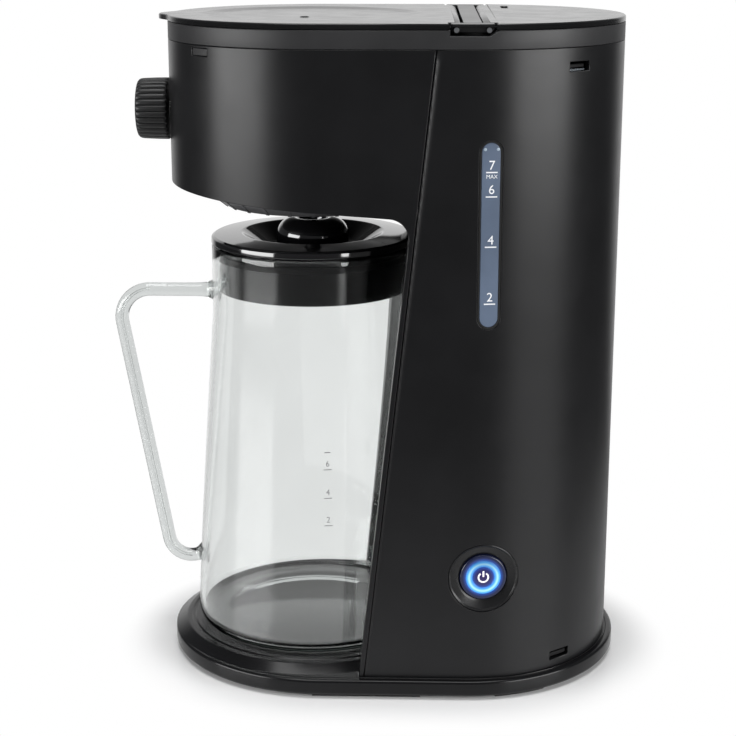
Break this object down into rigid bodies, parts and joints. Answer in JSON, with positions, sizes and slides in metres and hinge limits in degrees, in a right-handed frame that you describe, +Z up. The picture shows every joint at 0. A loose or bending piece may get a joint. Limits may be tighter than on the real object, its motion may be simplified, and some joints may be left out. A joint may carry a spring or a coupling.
{
  "type": "iced coffee maker",
  "caption": "Tall oval iced coffee maker with a brew head over a glass jug, hinged lids, a strength knob, a water window and a lit power button.",
  "frame": {"origin": "centre of the bounding box, on the surface it stands on", "axes": "+Z up, -Y towards the front with the knob and jug, +X towards the side with the window and power button"},
  "size_m": [0.167, 0.2692, 0.34],
  "materials": {
    "black_plastic": "satin moulded",
    "lid_plastic": "fine matt texture",
    "inner_plastic": "matt",
    "knob_plastic": "matt, ribbed",
    "gloss_black": "high gloss",
    "button_plastic": "satin dark blue",
    "light_ring": "lit blue diffuser",
    "jug_glass": "clear",
    "window_plastic": "tinted clear",
    "tank_plastic": "smoky translucent",
    "rubber": "matt",
    "silicone": "translucent white",
    "red_silicone": "matt",
    "steel": "plain",
    "aluminium": "cast",
    "white_plastic": "natural",
    "mesh_nylon": "fine nylon mesh",
    "board_green": "solder mask",
    "fuse_ceramic": "ceramic"
  },
  "bodies": {
    "machine": {"base_platform": "black_plastic", "base_plate": "inner_plastic", "rubber_feet": "rubber", "base_screws": "steel", "rear_shell": "black_plastic", "front_shell": "black_plastic", "head_floor": "black_plastic", "top_collar": "black_plastic", "collar_clips": "black_plastic", "hinge_bridge": "black_plastic", "hinge_pins": "steel", "knob_bushing": "white_plastic", "button_bezel": "black_plastic", "push_switch": "inner_plastic", "circuit_board": "board_green", "tank_window": "window_plastic", "window_gasket": "rubber", "water_tank": "tank_plastic", "tank_strainer": "steel", "check_valve": "white_plastic", "inlet_hose": "silicone", "riser_hose": "silicone", "hose_clamps": "steel", "water_spout": "inner_plastic", "heater_body": "aluminium", "heater_tube": "aluminium", "heater_bracket": "steel", "heater_screws": "steel", "thermostat": "steel", "thermal_fuse": "fuse_ceramic", "cord_gland": "rubber", "brew_basket": "inner_plastic", "mesh_filter": "mesh_nylon"},
    "front_lid_body": {"front_lid": "lid_plastic", "shower_plate": "inner_plastic"},
    "rear_lid_body": {"rear_lid": "lid_plastic"},
    "knob_body": {"strength_knob": "knob_plastic", "knob_shaft": "steel", "strength_valve": "white_plastic"},
    "button_body": {"power_button": "button_plastic", "button_stem": "white_plastic", "light_ring": "light_ring"},
    "drip_valve_body": {"drip_valve": "white_plastic", "valve_seal": "red_silicone", "valve_spring": "steel"},
    "jug_body": {"jug_glass": "jug_glass", "jug_handle": "jug_glass"},
    "jug_lid_body": {"jug_lid": "gloss_black", "lid_seal": "rubber"}
  },
  "joints": [
    {"name": "front_lid_hinge", "type": "hinge", "parent": "machine", "child": "front_lid_body", "pos_m": [0, 0.0435, 0.337], "axis": [-1, 0, 0], "range_deg": [0, 95]},
    {"name": "rear_lid_hinge", "type": "hinge", "parent": "machine", "child": "rear_lid_body", "pos_m": [0, 0.0588, 0.337], "axis": [1, 0, 0], "range_deg": [0, 85]},
    {"name": "strength_turn", "type": "hinge", "parent": "machine", "child": "knob_body", "pos_m": [0, -0.1014, 0.2915], "axis": [0, -1, 0], "range_deg": [0, 270]},
    {"name": "power_press", "type": "slide", "parent": "machine", "child": "button_body", "axis": [-0.9924, -0.1228, 0], "range_m": [0, 0.002], "stiffness_N_per_m": 400},
    {"name": "drip_valve_lift", "type": "slide", "parent": "machine", "child": "drip_valve_body", "axis": [0, 0, 1], "range_m": [0, 0.003], "stiffness_N_per_m": 150, "deforming": ["valve_spring"]},
    {"name": "jug_slide", "type": "slide", "parent": "machine", "child": "jug_body", "axis": [0, -1, 0], "range_m": [0, 0.15]},
    {"name": "jug_lid_turn", "type": "hinge", "parent": "jug_body", "child": "jug_lid_body", "pos_m": [0, -0.0289, 0.224], "axis": [0, 0, 1], "range_deg": [-90, 90]}
  ]
}
